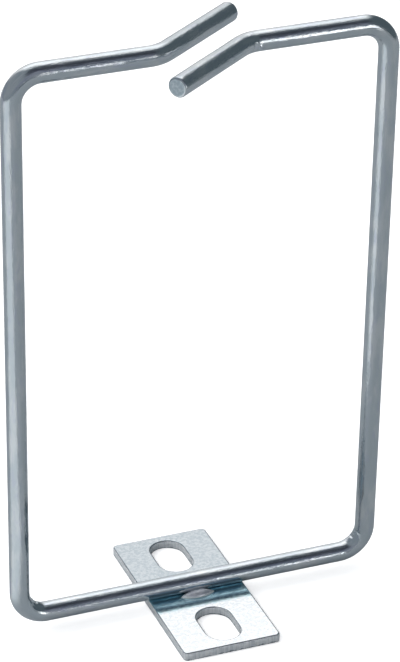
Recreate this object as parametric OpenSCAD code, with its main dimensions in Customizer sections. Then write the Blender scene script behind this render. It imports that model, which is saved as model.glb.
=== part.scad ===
// Cable routing ring: one round wire bent to a standing rectangle and welded to a slotted plate.
// The two free ends of the wire turn out of the ring's plane, one to each side, and pass each
// other. The slanted gap between them lets a cable in, and a straight cable can't slip out.
// X runs along the foot of the ring, Y through the ring and Z up.
// The origin is the middle of the plate's underside.

/* [Wire] */
// Diameter of the round wire
wire_d = 4; // [3:0.5:5]
// Width over the outside of the ring
ring_w = 78.8; // [60:0.2:120]
// Height over the outside of the ring
ring_h = 120.8; // [70:0.2:160]
// Inside radius of the four corner bends
corner_r = 3.6; // [2:0.1:8]

/* [Free ends] */
// Angle by which each free end turns out of the ring's plane
end_angle = 37; // [25:1:50]
// Inside radius of the bend at each free end
end_bend_r = 5; // [3:0.5:8]
// Distance from the middle of the ring to the corner of each end bend
end_offset = 8.6; // [7:0.1:12]
// Length of each free end, from the corner of its bend to its tip
end_len = 24.5; // [14:0.5:28]
// Radius of the rim on each cut tip
tip_edge_r = 0.45; // [0.1:0.05:0.8]

/* [Plate] */
// Width of the plate, along the foot of the ring
plate_w = 20.6; // [16:0.2:30]
// Length of the plate, across the ring
plate_len = 42; // [40:0.5:60]
// Thickness of the plate
plate_t = 1.8; // [1.2:0.1:3]
// Radius of the plate's four corners
plate_corner_r = 1; // [0.5:0.1:3]
// Width of each slot
slot_w = 7.1; // [5:0.1:9]
// Length of each slot, from end to end
slot_len = 11.6; // [9.5:0.1:13]
// Distance between the middles of the two slots
slot_pitch = 26.2; // [24:0.1:27]

/* [Weld] */
// Depth to which the wire is sunk into the plate by the weld
weld_sink = 0.08; // [0.02:0.02:0.3]
// Length of the bead on each side of the wire
bead_len = 7.2; // [4:0.1:12]
// Distance that each bead reaches beyond the side of the wire
bead_reach = 1.5; // [0.8:0.1:2.5]
// Height of each bead over the plate
bead_h = 1.3; // [0.8:0.1:1.6]

/* [Hidden] */
$fn = 96;
right_angle = 90;
half_turn = 180;
wire_r = wire_d / 2;
// Height of the wire's centre line along the foot of the ring
foot_z = plate_t + wire_r - weld_sink;
// Bend radii on the centre line of the wire
corner_line_r = corner_r + wire_r;
end_line_r = end_bend_r + wire_r;
// The ends turn by the angle within a twentieth of a degree of end_angle whose sine and cosine,
// kept to six places, lie truest on the unit circle. The lengths on both sides of the bend then
// share their faces exactly.
function six_places(x) = round(x * 1e6) / 1e6;
function off_circle(a) = abs(pow(six_places(sin(a)), 2) + pow(six_places(cos(a)), 2) - 1);
near_angles = [for (step = [-50:50]) end_angle + step / 1000];
misses = [for (a = near_angles) off_circle(a)];
turn_out = near_angles[search(min(misses), misses)[0]];
// Length of straight wire that each end bend uses up on either side of its corner
end_setback = end_line_r * tan(turn_out / 2);
// Straight lengths of half the ring, in the order in which the wire is fed
foot_run = ring_w / 2 - wire_r - corner_line_r;
side_run = ring_h - wire_d - 2 * corner_line_r;
top_run = foot_run - end_offset - end_setback;
tip_run = end_len - end_setback;
// Each bead is half of a slim spindle, whose side is an arc through its two pointed ends
bead_y = wire_r + bead_reach - bead_h;
bead_arc_r = (pow(bead_len / 2, 2) + pow(bead_h, 2)) / (2 * bead_h);

// Straight wire along +Z. What follows starts at its far end.
module feed(length) {
    cylinder(d = wire_d, h = length);
    translate([0, 0, length]) children();
}

// Wire that starts along +Z and bends towards +X, by less than half a turn. What follows starts
// at its far end. The bend is what two planes through the axis of a full torus leave of it.
module bend(angle, line_r) {
    reach = line_r + wire_d;
    slab = [2 * reach, 2 * wire_d, reach];
    translate([line_r, 0, 0]) {
        intersection() {
            rotate([right_angle, 0, 0]) rotate_extrude() translate([line_r, 0]) circle(d = wire_d);
            translate([-reach, -wire_d, 0]) cube(slab);
            rotate([0, angle, 0]) translate([-reach, -wire_d, -reach]) cube(slab);
        }
        rotate([0, angle, 0]) translate([-line_r, 0, 0]) children();
    }
}

// Turns the plane of the bends that follow.
module turn_plane(angle) {
    rotate([0, 0, angle]) children();
}

// The last straight length, sheared off square with its rim rolled over.
module feed_to_tip(length) {
    rotate_extrude() {
        square([wire_r - tip_edge_r, length]);
        square([wire_r, length - tip_edge_r]);
        translate([wire_r - tip_edge_r, length - tip_edge_r]) circle(r = tip_edge_r);
    }
}

// Half of the ring as a bending machine makes it, from the middle of the foot to one tip.
module half_ring() {
    translate([0, 0, foot_z]) rotate([0, right_angle, 0]) turn_plane(half_turn)
        feed(foot_run) bend(right_angle, corner_line_r)
        feed(side_run) bend(right_angle, corner_line_r)
        feed(top_run) turn_plane(right_angle) bend(turn_out, end_line_r)
        feed_to_tip(tip_run);
}

// The straight foot of the ring, which is what the plate and the beads fit to.
module foot_bar() {
    translate([-foot_run, 0, foot_z]) rotate([0, right_angle, 0])
        cylinder(d = wire_d, h = 2 * foot_run);
}

// Outline of one slot, with its length along Y.
module slot_outline() {
    straight = slot_len - slot_w;
    square([slot_w, straight], center = true);
    for (end = [-1, 1])
        translate([0, end * straight / 2]) circle(d = slot_w);
}

// Outline of the plate with its rounded corners.
module plate_outline() {
    inner_w = plate_w - 2 * plate_corner_r;
    inner_len = plate_len - 2 * plate_corner_r;
    square([plate_w, inner_len], center = true);
    square([inner_w, plate_len], center = true);
    for (x = [-1, 1], y = [-1, 1])
        translate([x * inner_w / 2, y * inner_len / 2]) circle(r = plate_corner_r);
}

// One bead as the upper half of its spindle, which lies along X with its flat side down.
module bead() {
    rotate([0, right_angle, 0]) rotate([0, 0, right_angle])
        rotate_extrude(angle = half_turn)
            intersection() {
                translate([bead_h - bead_arc_r, 0]) circle(r = bead_arc_r);
                translate([0, -bead_len / 2]) square(bead_len);
            }
}

module wire_ring() {
    color("silver")
    for (side = [0, half_turn])
        rotate([0, 0, side]) half_ring();
}

module mounting_plate() {
    color("lightsteelblue")
    difference() {
        linear_extrude(plate_t)
            difference() {
                plate_outline();
                for (side = [-1, 1])
                    translate([0, side * slot_pitch / 2]) slot_outline();
            }
        foot_bar();
    }
}

module weld_beads() {
    color("gray")
    difference() {
        for (side = [-1, 1])
            translate([0, side * bead_y, plate_t]) bead();
        foot_bar();
    }
}

wire_ring();
mounting_plate();
weld_beads();
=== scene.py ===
"""Cable routing ring: zinc plated round wire on a slotted foot plate, in a plain studio."""

import math

import bmesh
import bpy
from mathutils import Matrix, Quaternion, Vector, noise


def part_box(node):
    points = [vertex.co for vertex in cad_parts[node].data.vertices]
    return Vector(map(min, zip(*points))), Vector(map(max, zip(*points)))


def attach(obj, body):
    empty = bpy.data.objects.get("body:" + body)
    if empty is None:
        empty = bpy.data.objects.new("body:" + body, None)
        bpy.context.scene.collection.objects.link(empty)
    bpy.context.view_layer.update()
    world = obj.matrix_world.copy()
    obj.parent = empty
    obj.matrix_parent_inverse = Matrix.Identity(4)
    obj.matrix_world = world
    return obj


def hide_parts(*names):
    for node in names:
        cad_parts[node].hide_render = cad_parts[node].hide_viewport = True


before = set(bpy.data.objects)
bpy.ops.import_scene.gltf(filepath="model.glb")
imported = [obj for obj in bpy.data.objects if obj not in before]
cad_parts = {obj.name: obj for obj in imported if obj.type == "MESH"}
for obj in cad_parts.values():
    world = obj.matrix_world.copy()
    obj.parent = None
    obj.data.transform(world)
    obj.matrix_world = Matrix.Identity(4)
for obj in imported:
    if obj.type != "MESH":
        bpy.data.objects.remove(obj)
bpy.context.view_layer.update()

MM = 0.001
QUARTER = math.pi / 2

# Sizes of the bent wire, as the bending programme gives them.
WIRE_R = 2.0 * MM
CORNER_LINE_R = 5.6 * MM
END_LINE_R = 7.0 * MM
END_ANGLE = math.radians(37)
END_OFFSET = 8.6 * MM
END_LEN = 24.5 * MM
TIP_RIM_R = 0.45 * MM
SIDES_AROUND = 64
STRAIGHT_STEP = 1.0 * MM
CORNER_STEPS = 28
END_BEND_STEPS = 20
RIM_STEPS = (0.26, 0.5, 0.7, 0.86, 0.95, 1.0)
RIPPLE_HEIGHT = 0.016 * MM
RIPPLE_SEED = 3.0
GRIPPED_SHARE = 0.8
GRIP_FADE = 4 * MM

# Sizes of the pressed plate and of the weld.
PLATE_CORNER_R = 1.0 * MM
SLOT_W = 7.1 * MM
SLOT_LEN = 11.6 * MM
SLOT_PITCH = 26.2 * MM
PUNCH_STEP = 0.22 * MM
EDGE_ROLL = 0.40 * MM
SLOT_ROLL = 0.42 * MM
ROLL_STEPS = 5
SMOOTH_LEVELS = 3
BEAD_LEN = 7.2 * MM
BEAD_HEIGHT = 1.3 * MM
BEAD_REACH = 1.5 * MM
BEAD_STATIONS = 40
BEAD_ARC_STEPS = 20

# Studio.
FLOOR_HALF = 0.8
FLOOR_DROP = 0.1 * MM
LENS_MM = 162.44
SENSOR_MM = 36
LENS_SHIFT = (0.09486, 0.15208)
CAMERA_AT = (-0.188858, -0.470044, 0.339053)
CAMERA_TURN = (20.5475, 30.6587, 0.3116)

RING_LOW, RING_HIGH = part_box("wire_ring")
PLATE_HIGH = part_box("mounting_plate")[1]
PLATE_T = PLATE_HIGH.z
RING_HALF_W = RING_HIGH.x
FOOT_Z = RING_LOW.z + WIRE_R
TOP_Z = RING_HIGH.z - WIRE_R


# Node building ---------------------------------------------------------------------------

def put(tree, kind, inputs=None, **settings):
    """Adds a node. An input is given a number, a colour or the socket that feeds it."""
    node = tree.nodes.new(kind)
    for key, value in settings.items():
        setattr(node, key, value)
    for key, value in (inputs or {}).items():
        socket = node.inputs[key]
        if isinstance(value, bpy.types.NodeSocket):
            tree.links.new(value, socket)
        else:
            socket.default_value = value
    return node


def calc(tree, operation, *values, clamp=False):
    """The result of a Math node."""
    return put(tree, "ShaderNodeMath", dict(enumerate(values)),
               operation=operation, use_clamp=clamp).outputs[0]


def fade(tree, value, start, end, low=0.0, high=1.0):
    """A smooth step from low to high while value goes from start to end."""
    return put(tree, "ShaderNodeMapRange",
               {"Value": value, "From Min": start, "From Max": end,
                "To Min": low, "To Max": high},
               interpolation_type="SMOOTHSTEP").outputs["Result"]


def ramp(tree, value, stops, interpolation="LINEAR"):
    """A colour ramp. A stop is (position, grey) or (position, colour)."""
    node = put(tree, "ShaderNodeValToRGB", {"Fac": value})
    node.color_ramp.interpolation = interpolation
    elements = node.color_ramp.elements
    while len(elements) > 1:
        elements.remove(elements[-1])
    for index, (position, tone) in enumerate(stops):
        element = elements[0] if index == 0 else elements.new(position)
        element.position = position
        colour = (tone,) * 3 if isinstance(tone, (int, float)) else tone
        element.color = (*colour, 1)
    return node.outputs["Color"]


def blend_colours(tree, factor, first, second):
    """Mixes two colours by a factor."""
    node = put(tree, "ShaderNodeMix", data_type="RGBA")
    for socket, value in ((node.inputs[0], factor), (node.inputs[6], first),
                          (node.inputs[7], second)):
        if isinstance(value, bpy.types.NodeSocket):
            tree.links.new(value, socket)
        else:
            socket.default_value = value if isinstance(value, (int, float)) else (*value, 1)
    return node.outputs[2]


def grain(tree, where, scale, detail=2.0, roughness=0.5, distortion=0.0):
    """Plain noise, about 0.5 on average."""
    return put(tree, "ShaderNodeTexNoise",
               {"Vector": where, "Scale": scale, "Detail": detail,
                "Roughness": roughness, "Distortion": distortion}).outputs[0]


def stretched(tree, where, x, y, z):
    """Coordinates multiplied axis by axis, to draw a pattern out along one of them."""
    return put(tree, "ShaderNodeMapping", {"Vector": where, "Scale": (x, y, z)}).outputs[0]


def new_finish(name, metal=1.0):
    """An empty metal finish: the material, its tree and its shader. Frosted metal is below 1."""
    material = bpy.data.materials.new(name)
    material.use_nodes = True
    tree = material.node_tree
    shader = tree.nodes["Principled BSDF"]
    shader.inputs["Metallic"].default_value = metal
    return material, tree, shader


def dress(tree, shader, colour, roughness, height, strength, distance):
    """Gives the shader its colour, roughness and relief."""
    tree.links.new(colour, shader.inputs["Base Color"])
    tree.links.new(roughness, shader.inputs["Roughness"])
    relief = put(tree, "ShaderNodeBump",
                 {"Strength": strength, "Distance": distance, "Height": height})
    tree.links.new(relief.outputs[0], shader.inputs["Normal"])


# Finishes --------------------------------------------------------------------------------

ZINC_BLUE = (0.60, 0.655, 0.69)
ZINC_PALE = (0.72, 0.75, 0.77)
ZINC_VIOLET = (0.56, 0.585, 0.72)


def wire_zinc():
    """Bright zinc on drawn wire: long draw lines, flat ripples and a blue to violet tint."""
    material, tree, shader = new_finish("bright_zinc_on_drawn_wire")
    along = put(tree, "ShaderNodeAttribute", attribute_name="along").outputs["Fac"]
    section = put(tree, "ShaderNodeAttribute", attribute_name="section").outputs["Vector"]
    across = put(tree, "ShaderNodeSeparateXYZ", {"Vector": section}).outputs
    unrolled = put(tree, "ShaderNodeCombineXYZ",
                   {"X": across[0], "Y": across[1], "Z": along}).outputs[0]
    place = put(tree, "ShaderNodeTexCoord").outputs["Object"]

    draw_lines = grain(tree, stretched(tree, unrolled, 1, 1, 0.02), 5200, 3, 0.6)
    ripples = grain(tree, stretched(tree, unrolled, 1, 1, 0.22), 1300, 3, 0.6, 0.6)
    plating = grain(tree, place, 2600, 3, 0.6)
    clouds = grain(tree, stretched(tree, unrolled, 1, 1, 0.3), 420, 3, 0.6)

    tint = blend_colours(tree, fade(tree, clouds, 0.42, 0.66), ZINC_BLUE, ZINC_PALE)
    tint = blend_colours(tree, fade(tree, ripples, 0.52, 0.68, 0, 0.4), tint, ZINC_VIOLET)
    tint = blend_colours(tree, fade(tree, draw_lines, 0.60, 0.75, 0, 0.35), tint,
                         (0.42, 0.46, 0.50))
    end_grip = put(tree, "ShaderNodeAttribute", attribute_name="free_end").outputs["Fac"]
    dullness = calc(tree, "MULTIPLY_ADD", clouds, 0.10, 0.075)
    dullness = calc(tree, "MULTIPLY_ADD", end_grip, 0.10, dullness)
    height = calc(tree, "MULTIPLY_ADD", draw_lines, 0.25, ripples)
    height = calc(tree, "MULTIPLY_ADD", plating, 0.10, height)
    height = calc(tree, "MULTIPLY_ADD",
                  calc(tree, "MULTIPLY", grain(tree, place, 1500, 2), end_grip), 0.35, height)
    dress(tree, shader, tint, dullness, height, 0.85, 0.075 * MM)
    return material


def tip_zinc():
    """Thin plating over a sheared wire tip, with fine tear lines across it."""
    material, tree, shader = new_finish("thin_zinc_on_sheared_tip")
    section = put(tree, "ShaderNodeAttribute", attribute_name="section").outputs["Vector"]
    tears = grain(tree, stretched(tree, section, 1, 0.25, 1), 3200, 3, 0.65, 0.4)
    patches = grain(tree, section, 1300, 2)
    tint = blend_colours(tree, fade(tree, patches, 0.4, 0.65), (0.40, 0.47, 0.52),
                         (0.55, 0.61, 0.65))
    dullness = calc(tree, "MULTIPLY_ADD", tears, 0.2, 0.32)
    dress(tree, shader, tint, dullness, tears, 0.5, 0.04 * MM)
    return material


def plate_zinc():
    """Bright zinc on rolled sheet with a fine spangle. Its back half has painted shade, a darker
    copy of the zinc standing for a dimmer reflection, and is rougher. In front of the wire a
    painted blue band stands for the wire's reflection and contact shadow.
    """
    material, tree, shader = new_finish("bright_zinc_on_rolled_sheet")
    place = put(tree, "ShaderNodeTexCoord").outputs["Object"]
    xyz = put(tree, "ShaderNodeSeparateXYZ", {"Vector": place}).outputs
    spangle = grain(tree, place, 1500, 4, 0.65)
    specks = grain(tree, place, 4200, 2, 0.6)
    rolling = grain(tree, stretched(tree, place, 1, 0.12, 1), 900, 2, 0.6)
    bright = blend_colours(tree, fade(tree, spangle, 0.38, 0.62), (0.70, 0.74, 0.77),
                           (0.82, 0.84, 0.855))
    # Painted shade: the back half of the plate, from about 2 to 4 mm behind the wire's line, is
    # blended to this darker copy of the zinc, standing for a dimmer reflection there. The same
    # mask also makes it rougher.
    painted_back_shade_tint = blend_colours(tree, fade(tree, spangle, 0.42, 0.60), (0.47, 0.525, 0.565),
                         (0.58, 0.625, 0.655))
    back_shade_and_haze = fade(tree, calc(tree, "MULTIPLY_ADD", spangle, 5 * MM, xyz[1]), 2 * MM, 4 * MM)
    tint = blend_colours(tree, back_shade_and_haze, bright, painted_back_shade_tint)
    tint = blend_colours(tree, fade(tree, specks, 0.64, 0.74, 0, 0.5), tint,
                         (0.40, 0.46, 0.52))
    # Painted reflection and contact shadow of the wire: a blue band on the plate from the wire to
    # about 5 mm in front of it, with a ragged outer edge.
    wire_reflection_edge = calc(tree, "ADD", xyz[1], calc(tree, "MULTIPLY", rolling, 1.6 * MM))
    painted_wire_reflection = calc(tree, "MULTIPLY", fade(tree, wire_reflection_edge, -6.0 * MM, -4.2 * MM),
                fade(tree, xyz[1], -0.2 * MM, 0.6 * MM, 1.0, 0.0))
    tint = blend_colours(tree, calc(tree, "MULTIPLY", painted_wire_reflection, 0.6), tint, (0.42, 0.80, 0.90))
    dullness = calc(tree, "MULTIPLY_ADD", spangle, 0.12, 0.07)
    dullness = calc(tree, "MULTIPLY_ADD", back_shade_and_haze, 0.12, dullness)
    height = calc(tree, "MULTIPLY_ADD", specks, 0.4, spangle)
    height = calc(tree, "MULTIPLY_ADD", rolling, 0.5, height)
    dress(tree, shader, tint, dullness, height, 0.35, 0.03 * MM)
    return material


def sheared_wall_zinc():
    """A punched wall: burnished in its upper part, torn and darker below, with shear lines."""
    material, tree, shader = new_finish("zinc_on_sheared_wall", 0.7)
    place = put(tree, "ShaderNodeTexCoord").outputs["Object"]
    xyz = put(tree, "ShaderNodeSeparateXYZ", {"Vector": place}).outputs
    shear_lines = grain(tree, stretched(tree, place, 1, 1, 0.06), 3600, 3, 0.7)
    wander = grain(tree, stretched(tree, place, 1, 1, 0.0), 700, 2)
    level = calc(tree, "MULTIPLY_ADD", wander, 0.9 * MM, xyz[2])
    torn = fade(tree, level, 0.58 * MM, 0.80 * MM, 1.0, 0.0)
    bright = blend_colours(tree, fade(tree, shear_lines, 0.38, 0.60), (0.80, 0.82, 0.84),
                           (0.98, 0.985, 0.99))
    dark = blend_colours(tree, fade(tree, shear_lines, 0.4, 0.62), (0.24, 0.28, 0.31),
                         (0.55, 0.59, 0.62))
    tint = blend_colours(tree, torn, bright, dark)
    dullness = calc(tree, "MULTIPLY_ADD", torn, -0.10, 0.55)
    dress(tree, shader, tint, dullness, shear_lines, 0.9, 0.12 * MM)
    return material


def weld_zinc():
    """Frosted zinc over frozen weld metal: grey on its crown, and painted bright along its low
    rim, a painted highlight.
    """
    material, tree, shader = new_finish("zinc_on_weld_metal", 0.6)
    place = put(tree, "ShaderNodeTexCoord").outputs["Object"]
    xyz = put(tree, "ShaderNodeSeparateXYZ", {"Vector": place}).outputs
    crust = grain(tree, place, 1800, 3, 0.6)
    rim = fade(tree, calc(tree, "MULTIPLY_ADD", crust, 0.4 * MM, xyz[2]), 2.15 * MM, 2.55 * MM,
               1.0, 0.0)
    tint = blend_colours(tree, fade(tree, crust, 0.42, 0.62), (0.55, 0.57, 0.63),
                         (0.74, 0.76, 0.80))
    # Painted highlight: the low rim of the weld is blended to near white.
    tint = blend_colours(tree, rim, tint, (0.93, 0.945, 0.95))
    dullness = calc(tree, "MULTIPLY_ADD", rim, 0.28, 0.24)
    dress(tree, shader, tint, dullness, crust, 0.4, 0.05 * MM)
    return material


# Bent wire -------------------------------------------------------------------------------

class WireFeed:
    """Follows a wire through a bending machine and notes the points of its centre line."""

    def __init__(self, start, ahead, inward):
        self.at, self.ahead, self.inward = Vector(start), Vector(ahead), Vector(inward)
        self.fed = 0.0
        self.points = [(self.at.copy(), self.fed)]

    def _note(self, point, length):
        self.fed += length
        self.points.append((point.copy(), self.fed))

    def feed(self, length):
        """Straight wire."""
        steps = max(1, round(length / STRAIGHT_STEP))
        for _ in range(steps):
            self.at = self.at + self.ahead * (length / steps)
            self._note(self.at, length / steps)

    def bend(self, angle, line_r, steps=CORNER_STEPS):
        """A bend towards the inward side."""
        centre = self.at + self.inward * line_r
        axis = self.ahead.cross(self.inward)
        for _ in range(steps):
            turn = Quaternion(axis, angle / steps)
            self.at = centre + turn @ (self.at - centre)
            self.ahead = turn @ self.ahead
            self.inward = turn @ self.inward
            self._note(self.at, angle / steps * line_r)

    def turn_plane(self, inward):
        """Sets the side towards which the next bend goes."""
        self.inward = Vector(inward)

    def feed_to_tip(self, length):
        """The last straight length, with close points along the rolled rim of its tip."""
        self.feed(length - TIP_RIM_R)
        start = self.at.copy()
        for share in RIM_STEPS:
            self.at = start + self.ahead * (TIP_RIM_R * share)
            self.points.append((self.at.copy(), self.fed + TIP_RIM_R * share))
        self.fed += TIP_RIM_R


def half_ring_line(side):
    """Centre line from the middle of the foot to one tip. Side is 1 for the right half."""
    setback = END_LINE_R * math.tan(END_ANGLE / 2)
    foot = RING_HALF_W - WIRE_R - CORNER_LINE_R
    wire = WireFeed((0, 0, FOOT_Z), (side, 0, 0), (0, 0, 1))
    wire.feed(foot)
    wire.bend(QUARTER, CORNER_LINE_R)
    wire.feed(TOP_Z - FOOT_Z - 2 * CORNER_LINE_R)
    wire.bend(QUARTER, CORNER_LINE_R)
    wire.feed(foot - END_OFFSET - setback)
    wire.turn_plane((0, -side, 0))
    wire.bend(END_ANGLE, END_LINE_R, END_BEND_STEPS)
    wire.feed_to_tip(END_LEN - setback)
    return wire.points


def rim_share(to_tip):
    """How much of the wire's radius is left at this distance from its tip."""
    if to_tip >= TIP_RIM_R:
        return 1.0
    rise = math.sqrt(max(0.0, TIP_RIM_R ** 2 - (TIP_RIM_R - to_tip) ** 2))
    return (WIRE_R - TIP_RIM_R + rise) / WIRE_R


def centre_line():
    """The whole centre line as a chain of edges, with its length and radius at each point."""
    right, left = half_ring_line(1), half_ring_line(-1)
    total = right[-1][1]
    chain = [(p, total - d, d) for p, d in reversed(left)]
    chain += [(p, total + d, d) for p, d in right[1:]]
    mesh = bpy.data.meshes.new("ring_centre_line")
    mesh.from_pydata([p for p, _, _ in chain], [(i, i + 1) for i in range(len(chain) - 1)], [])
    grip_start = total - END_LEN * GRIPPED_SHARE
    for name, values in (
        ("along", [along for _, along, _ in chain]),
        ("neck", [rim_share(total - d) for _, _, d in chain]),
        ("free_end", [min(1.0, max(0.0, (d - grip_start) / GRIP_FADE)) for _, _, d in chain]),
    ):
        mesh.attributes.new(name, "FLOAT", "POINT").data.foreach_set("value", values)
    return bpy.data.objects.new("ring_centre_line", mesh)


def wire_tree():
    """Geometry nodes that draw a round wire along a centre line."""
    tree = bpy.data.node_groups.new("round_wire_along_line", "GeometryNodeTree")
    face = tree.interface
    face.new_socket("Geometry", in_out="INPUT", socket_type="NodeSocketGeometry")
    for name, kind in (("Wire radius", "NodeSocketFloat"), ("Sides around", "NodeSocketInt"),
                       ("Ripple height", "NodeSocketFloat"), ("Ripple seed", "NodeSocketFloat"),
                       ("Finish", "NodeSocketMaterial")):
        face.new_socket(name, in_out="INPUT", socket_type=kind)
    face.new_socket("Geometry", in_out="OUTPUT", socket_type="NodeSocketGeometry")
    given = put(tree, "NodeGroupInput").outputs
    neck = put(tree, "GeometryNodeInputNamedAttribute", {"Name": "neck"},
               data_type="FLOAT").outputs["Attribute"]
    line = put(tree, "GeometryNodeMeshToCurve", {"Mesh": given["Geometry"]}).outputs[0]
    line = put(tree, "GeometryNodeSetCurveRadius", {"Curve": line, "Radius": neck}).outputs[0]
    ring = put(tree, "GeometryNodeCurvePrimitiveCircle",
               {"Resolution": given["Sides around"], "Radius": given["Wire radius"]}).outputs[0]
    spot = put(tree, "GeometryNodeInputPosition").outputs[0]
    ring = put(tree, "GeometryNodeStoreNamedAttribute",
               {"Geometry": ring, "Name": "section", "Value": spot},
               data_type="FLOAT_VECTOR", domain="POINT").outputs[0]
    sweep = put(tree, "GeometryNodeCurveToMesh",
                {"Curve": line, "Profile Curve": ring, "Fill Caps": True})
    if "Scale" in sweep.inputs:
        tree.links.new(neck, sweep.inputs["Scale"])
    ripple = put(tree, "ShaderNodeTexNoise",
                 {"Vector": spot, "W": given["Ripple seed"], "Scale": 260.0, "Detail": 1.0},
                 noise_dimensions="4D").outputs[0]
    inward = calc(tree, "MULTIPLY", calc(tree, "SUBTRACT", ripple, 1.0), given["Ripple height"])
    normal = put(tree, "GeometryNodeInputNormal").outputs[0]
    offset = put(tree, "ShaderNodeVectorMath", {0: normal, "Scale": inward},
                 operation="SCALE").outputs[0]
    moved = put(tree, "GeometryNodeSetPosition",
                {"Geometry": sweep.outputs[0], "Offset": offset}).outputs[0]
    smooth = put(tree, "GeometryNodeSetShadeSmooth", {"Geometry": moved}).outputs[0]
    real = put(tree, "GeometryNodeRealizeInstances", {"Geometry": smooth}).outputs[0]
    done = put(tree, "GeometryNodeSetMaterial",
               {"Geometry": real, "Material": given["Finish"]}).outputs[0]
    out = put(tree, "NodeGroupOutput")
    tree.links.new(done, out.inputs[0])
    return tree


def run_tree(obj, tree, values):
    """Runs geometry nodes on an object and returns the plain mesh that they make."""
    bpy.context.scene.collection.objects.link(obj)
    modifier = obj.modifiers.new("make", "NODES")
    modifier.node_group = tree
    for item in tree.interface.items_tree:
        if item.item_type == "SOCKET" and item.in_out == "INPUT" and item.name in values:
            modifier[item.identifier] = values[item.name]
    seen = obj.evaluated_get(bpy.context.evaluated_depsgraph_get())
    mesh = bpy.data.meshes.new_from_object(seen)
    obj.modifiers.remove(modifier)
    bpy.data.objects.remove(obj)
    return mesh


def press_mark(mesh, spot, lengthwise, half_len, half_width, depth):
    """Presses an oval mark into the wire at a spot on its surface."""
    lengthwise = Vector(lengthwise).normalized()
    reach = max(half_len, half_width)
    for vertex in mesh.vertices:
        gap = vertex.co - spot
        if gap.length > reach:
            continue
        down = gap.dot(lengthwise)
        side = (gap - lengthwise * down).length
        fill = (down / half_len) ** 2 + (side / half_width) ** 2
        if fill < 1:
            vertex.co -= vertex.normal * depth * (1 - fill) ** 2


def press_tool_marks(mesh):
    """Creases inside the lower corners, a kink in the right end bend, and marks by the tips."""
    corner_z = FOOT_Z + CORNER_LINE_R
    inner_r = CORNER_LINE_R - WIRE_R
    low_x = RING_HALF_W - WIRE_R - CORNER_LINE_R
    for side, angle, depth in ((1, 40, 0.34), (-1, 52, 0.22)):
        a = math.radians(angle)
        out = Vector((side * math.cos(a), 0, -math.sin(a)))
        across = Vector((side * math.sin(a), 0, math.cos(a)))
        middle = Vector((side * low_x, 0, corner_z))
        press_mark(mesh, middle + out * inner_r, (0, 1, 0), 1.3 * MM, 0.42 * MM, depth * MM)
        press_mark(mesh, middle + out * inner_r + across * 0.9 * MM, (0, 1, 0.2),
                   0.9 * MM, 0.34 * MM, -0.10 * MM)
    half = END_ANGLE / 2
    bend_x = END_OFFSET + END_LINE_R * math.tan(half)
    inner = END_LINE_R - WIRE_R
    kink = Vector((bend_x - inner * math.sin(half), inner * math.cos(half) - END_LINE_R, TOP_Z))
    press_mark(mesh, kink + Vector((0, 0, -0.5 * MM)), (0.1, 0, 1), 1.5 * MM, 0.45 * MM,
               0.50 * MM)
    press_mark(mesh, kink + Vector((1.1 * MM, 0.2 * MM, -0.8 * MM)), (0.4, 0, 1), 1.0 * MM,
               0.50 * MM, -0.30 * MM)
    press_mark(mesh, kink + Vector((-1.0 * MM, -0.3 * MM, -0.9 * MM)), (-0.3, 0, 1), 0.9 * MM,
               0.4 * MM, 0.16 * MM)
    press_mark(mesh, Vector((1 * MM - bend_x, 1.8 * MM, TOP_Z - 0.7 * MM)), (1, -0.3, 0),
               1.6 * MM, 0.6 * MM, 0.12 * MM)
    for side in (-1, 1):
        ahead = Vector((-side * math.cos(END_ANGLE), -side * math.sin(END_ANGLE), 0))
        right = Vector((math.sin(END_ANGLE), -math.cos(END_ANGLE), 0))
        base = Vector((side * END_OFFSET, 0, TOP_Z)) + ahead * (END_LEN - 1.15 * MM)
        for angle, depth in ((-22, -0.13), (68, -0.06)):
            a = math.radians(angle)
            out = right * math.cos(a) + Vector((0, 0, math.sin(a)))
            press_mark(mesh, base + out * WIRE_R, ahead, 1.0 * MM, 0.9 * MM, depth * MM)


def make_ring():
    """The bent wire with its tool marks and its two sheared tips."""
    values = {"Wire radius": WIRE_R, "Sides around": SIDES_AROUND,
              "Ripple height": RIPPLE_HEIGHT, "Ripple seed": RIPPLE_SEED, "Finish": wire_zinc()}
    mesh = run_tree(centre_line(), wire_tree(), values)
    mesh.name = "bent_wire"
    press_tool_marks(mesh)
    mesh.materials.append(tip_zinc())
    for face in mesh.polygons:
        if len(face.vertices) > 4:
            face.use_smooth = False
            face.material_index = 1
    return add_piece("bent_wire", mesh, "wire_ring")


# Pressed plate ---------------------------------------------------------------------------

def outline(half_w, half_l, radius, middle_y, outward):
    """Points and normals round a rectangle with round corners. Outward is -1 for a hole."""
    found = []

    def straight(a, b, normal):
        steps = max(1, round((b - a).length / PUNCH_STEP))
        found.extend((a.lerp(b, i / steps), normal) for i in range(steps))

    corners = ((1, -1, -QUARTER), (1, 1, 0.0), (-1, 1, QUARTER), (-1, -1, math.pi))
    x, y = half_w - radius, half_l - radius
    for index, (sx, sy, start) in enumerate(corners):
        centre = Vector((sx * x, middle_y + sy * y))
        steps = max(4, round(radius * QUARTER / PUNCH_STEP))
        for i in range(steps):
            a = start + QUARTER * i / steps
            normal = Vector((math.cos(a), math.sin(a)))
            found.append((centre + normal * radius, normal))
        nx, ny, _ = corners[(index + 1) % 4]
        a = start + QUARTER
        normal = Vector((math.cos(a), math.sin(a)))
        after = Vector((nx * x, middle_y + ny * y)) + normal * radius
        if (after - (centre + normal * radius)).length > PUNCH_STEP / 4:
            straight(centre + normal * radius, after, normal)
    return [(p, n * outward) for p, n in found]


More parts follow.
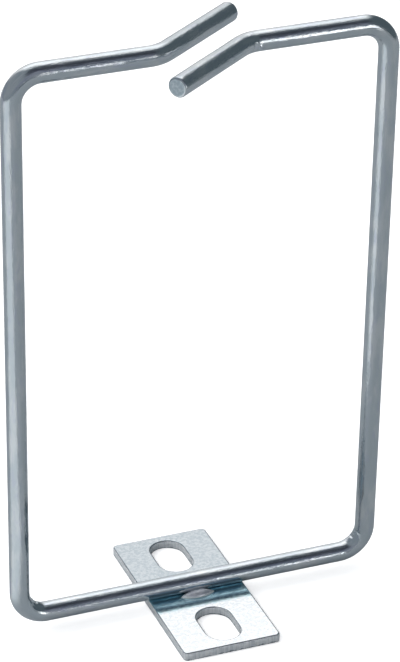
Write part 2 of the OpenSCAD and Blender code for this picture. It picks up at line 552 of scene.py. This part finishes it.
def punched_levels(spot, roll):
    """Height and inset of the wall at a spot: rolled edge, burnished band, torn band, burr."""
    wander = noise.noise(Vector((spot.x, spot.y, 0)) * 900)
    fine = noise.noise(Vector((spot.x, spot.y, 1 * MM)) * 4200)
    torn = PLATE_T * (0.42 + 0.10 * wander)
    levels = []
    for i in range(ROLL_STEPS + 1):
        a = QUARTER * i / ROLL_STEPS
        levels.append((PLATE_T - roll * (1 - math.cos(a)), roll * (1 - math.sin(a))))
    tear = (0.035 + 0.025 * fine + 0.02 * wander) * MM
    levels += [(torn + 0.25 * MM, 0.0), (torn, 0.004 * MM), (torn - 0.10 * MM, tear),
               (torn * 0.45, tear * 0.8), (0.06 * MM, tear * 0.6), (0.0, 0.06 * MM)]
    return levels


def make_plate():
    """The plate with its rolled and torn punched walls."""
    half_w, half_l = PLATE_HIGH.x, PLATE_HIGH.y
    loops = [(outline(half_w, half_l, PLATE_CORNER_R, 0.0, 1), EDGE_ROLL)]
    for side in (-1, 1):
        loops.append((outline(SLOT_W / 2, SLOT_LEN / 2, SLOT_W / 2, side * SLOT_PITCH / 2, -1),
                      SLOT_ROLL))
    shape = bmesh.new()
    tops, bottoms = [], []
    for points, roll in loops:
        columns = []
        for spot, normal in points:
            columns.append([shape.verts.new((*(spot - normal * inset), z))
                            for z, inset in punched_levels(spot, roll)])
        count = len(columns)
        for i in range(count):
            here, there = columns[i], columns[(i + 1) % count]
            for level in range(len(here) - 1):
                face = shape.faces.new((here[level], there[level], there[level + 1],
                                        here[level + 1]))
                face.smooth = True
                face.material_index = 0 if level < SMOOTH_LEVELS else 1
            tops.append(shape.edges.get((here[0], there[0])))
            bottoms.append(shape.edges.get((here[-1], there[-1])))
    for edges in (tops, bottoms):
        bmesh.ops.triangle_fill(shape, use_beauty=True, use_dissolve=False, edges=edges)
    bmesh.ops.recalc_face_normals(shape, faces=shape.faces)
    mesh = bpy.data.meshes.new("pressed_plate")
    shape.to_mesh(mesh)
    shape.free()
    mesh.materials.append(plate_zinc())
    mesh.materials.append(sheared_wall_zinc())
    return add_piece("pressed_plate", mesh, "mounting_plate")


# Weld ------------------------------------------------------------------------------------

def make_beads():
    """The lump of weld metal on each side of the wire: a slim mound, pointed at both ends."""
    shape = bmesh.new()
    lengths, arcs = BEAD_STATIONS, BEAD_ARC_STEPS
    for side in (-1, 1):
        middle = Vector((0.15 * MM * side, side * (WIRE_R + BEAD_REACH - BEAD_HEIGHT), 0))
        rings = []
        for i in range(1, lengths):
            x = -math.cos(math.pi * i / lengths)
            width = BEAD_HEIGHT * (1 - x * x) ** 0.8
            ring = []
            for j in range(arcs + 1):
                a = math.pi * j / arcs
                out = Vector((x * BEAD_LEN / 2, side * width * math.cos(a),
                              width * math.sin(a) * 0.94))
                lump = noise.noise(out * 1100 + Vector((side * 5.0, 0, 0)))
                ripple = 0.02 * math.sin(x * 26)
                scale = 0.95 - 0.07 * abs(lump) + ripple * math.sin(a)
                out.yz = out.yz * scale
                ring.append(shape.verts.new(middle + out + Vector((0, 0, PLATE_T))))
            rings.append(ring)
        poles = [shape.verts.new(middle + Vector((e * BEAD_LEN / 2, 0, PLATE_T)))
                 for e in (-1, 1)]
        for a, b in zip(rings, rings[1:]):
            for j in range(arcs):
                shape.faces.new((a[j], a[j + 1], b[j + 1], b[j])).smooth = True
            shape.faces.new((a[arcs], a[0], b[0], b[arcs]))
        for pole, ring in ((poles[0], rings[0]), (poles[1], rings[-1])):
            for j in range(arcs + 1):
                shape.faces.new((pole, ring[j], ring[(j + 1) % (arcs + 1)]))
    bmesh.ops.recalc_face_normals(shape, faces=shape.faces)
    mesh = bpy.data.meshes.new("weld_lumps")
    shape.to_mesh(mesh)
    shape.free()
    mesh.materials.append(weld_zinc())
    return add_piece("weld_lumps", mesh, "weld_beads")


def add_piece(name, mesh, node):
    """Puts a finished mesh in the scene in place of its CAD node."""
    piece = bpy.data.objects.new(name, mesh)
    bpy.context.scene.collection.objects.link(piece)
    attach(piece, "root")
    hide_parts(node)
    return piece


# Studio ----------------------------------------------------------------------------------

def set_camera():
    """The camera: long lens, from the front left and above."""
    data = bpy.data.cameras.new("camera")
    camera = bpy.data.objects.new("camera", data)
    bpy.context.scene.collection.objects.link(camera)
    data.sensor_width = SENSOR_MM
    data.lens = LENS_MM
    data.shift_x, data.shift_y = LENS_SHIFT
    data.clip_start, data.clip_end = 0.01, 20
    azimuth, elevation, roll = (math.radians(a) for a in CAMERA_TURN)
    turn = (Matrix.Rotation(-azimuth, 4, "Z") @ Matrix.Rotation(QUARTER - elevation, 4, "X")
            @ Matrix.Rotation(roll, 4, "Z"))
    camera.matrix_world = Matrix.Translation(CAMERA_AT) @ turn
    bpy.context.scene.camera = camera


def set_world():
    """Soft light from above and behind, a darker room at the sides and in front, and a strip
    light low in front on the right. A soft fill from the left lights matt surfaces only."""
    world = bpy.data.worlds.new("studio")
    bpy.context.scene.world = world
    world.use_nodes = True
    tree = world.node_tree
    tree.nodes.clear()
    way = put(tree, "ShaderNodeTexCoord").outputs["Generated"]
    xyz = put(tree, "ShaderNodeSeparateXYZ", {"Vector": way}).outputs
    # Angle about the line of the ring's foot: 0.1 at the front horizon, 1 at the back one.
    turn = calc(tree, "ARCTAN2", xyz[2], calc(tree, "MULTIPLY", xyz[1], -1))
    roll = calc(tree, "MULTIPLY_ADD", turn, 0.9 / math.pi, 0.1)
    room = ramp(tree, roll, [
        (0.0, (0.16, 0.18, 0.21)), (0.085, (0.17, 0.19, 0.22)), (0.105, (0.27, 0.29, 0.33)),
        (0.140, (0.27, 0.29, 0.33)), (0.175, (0.20, 0.22, 0.27)), (0.255, (0.22, 0.24, 0.29)),
        (0.300, (0.10, 0.11, 0.14)), (0.400, (0.045, 0.052, 0.066)),
        (0.500, (0.10, 0.11, 0.13)), (0.585, (0.36, 0.38, 0.40)), (0.640, 1.2), (0.70, 1.45),
        (0.815, 1.45), (0.830, 0.95), (1.0, 0.85)])
    room = blend_colours(tree, fade(tree, xyz[0], 0.38, 0.64), room, (0.10, 0.125, 0.14))
    strip = calc(tree, "MULTIPLY", fade(tree, xyz[0], 0.322, 0.340),
                 calc(tree, "MULTIPLY", fade(tree, roll, 0.045, 0.07),
                      fade(tree, roll, 0.145, 0.18, 1.0, 0.0)))
    strip = calc(tree, "MULTIPLY", strip, fade(tree, xyz[0], 0.50, 0.62, 1.0, 0.0))
    room = blend_colours(tree, strip, room, (2.4, 2.4, 2.4))
    room = blend_colours(tree, fade(tree, xyz[0], -0.42, -0.15, 1.0, 0.0), room,
                         (0.26, 0.29, 0.32))
    rays = put(tree, "ShaderNodeLightPath").outputs
    fill = calc(tree, "MULTIPLY", fade(tree, xyz[0], -0.55, -0.30, 1.0, 0.0),
                fade(tree, xyz[2], 0.25, 0.45))
    fill = calc(tree, "MULTIPLY", fill, rays["Is Diffuse Ray"])
    light = blend_colours(tree, fill, room, (3.4, 3.4, 3.4))
    lamps = put(tree, "ShaderNodeBackground", {"Color": light, "Strength": 1.0}).outputs[0]
    plain = put(tree, "ShaderNodeBackground", {"Color": (1, 1, 1, 1), "Strength": 1.0}).outputs[0]
    mixed = put(tree, "ShaderNodeMixShader",
                {0: rays["Is Camera Ray"], 1: lamps, 2: plain}).outputs[0]
    put(tree, "ShaderNodeOutputWorld", {"Surface": mixed})


def set_floor():
    """A pale floor, which keeps the object's shadow. The camera sees it white. Reflections and
    bounced light see it grey, with painted shade darker towards the right and a painted light
    patch towards the front left.
    """
    size = FLOOR_HALF
    mesh = bpy.data.meshes.new("floor")
    mesh.from_pydata([(-size, -size, 0), (size, -size, 0), (size, size, 0), (-size, size, 0)],
                     [], [(0, 1, 2, 3)])
    floor = bpy.data.objects.new("floor", mesh)
    floor.location.z = -FLOOR_DROP
    bpy.context.scene.collection.objects.link(floor)
    material = bpy.data.materials.new("floor_paper")
    material.use_nodes = True
    tree = material.node_tree
    tree.nodes.clear()
    place = put(tree, "ShaderNodeTexCoord").outputs["Object"]
    way = put(tree, "ShaderNodeVectorMath", {0: place}, operation="NORMALIZE").outputs[0]
    xy = put(tree, "ShaderNodeSeparateXYZ", {"Vector": way}).outputs
    # Painted light: a light patch on the floor towards the front left, from about 5 cm out from
    # the object, seen only in reflections and bounced light.
    toward_light_patch = calc(tree, "ADD", calc(tree, "MULTIPLY", xy[0], -0.93),
                   calc(tree, "MULTIPLY", xy[1], -0.37))
    # Painted shade: the floor that reflections and bounced light see is darker towards the right.
    floor_with_painted_shading = blend_colours(tree, fade(tree, xy[0], -0.3, 0.6), (0.41, 0.435, 0.455),
                          (0.36, 0.385, 0.40))
    reach = put(tree, "ShaderNodeVectorMath", {0: place}, operation="LENGTH").outputs["Value"]
    painted_light_patch = calc(tree, "MULTIPLY", fade(tree, toward_light_patch, 0.78, 0.93),
                fade(tree, reach, 40 * MM, 55 * MM))
    floor_with_painted_shading = blend_colours(tree, painted_light_patch, floor_with_painted_shading, (0.82, 0.85, 0.86))
    matt = put(tree, "ShaderNodeBsdfDiffuse", {"Color": floor_with_painted_shading}).outputs[0]
    white = put(tree, "ShaderNodeBsdfDiffuse", {"Color": (0.85, 0.85, 0.85, 1)}).outputs[0]
    lift = put(tree, "ShaderNodeEmission", {"Color": (1, 1, 1, 1), "Strength": 0.55}).outputs[0]
    white = put(tree, "ShaderNodeAddShader", {0: white, 1: lift}).outputs[0]
    seen = put(tree, "ShaderNodeLightPath").outputs["Is Camera Ray"]
    mixed = put(tree, "ShaderNodeMixShader", {0: seen, 1: matt, 2: white}).outputs[0]
    put(tree, "ShaderNodeOutputMaterial", {"Surface": mixed})
    mesh.materials.append(material)


bpy.context.scene.view_settings.view_transform = "Standard"
set_camera()
set_world()
set_floor()
make_ring()
make_plate()
make_beads()
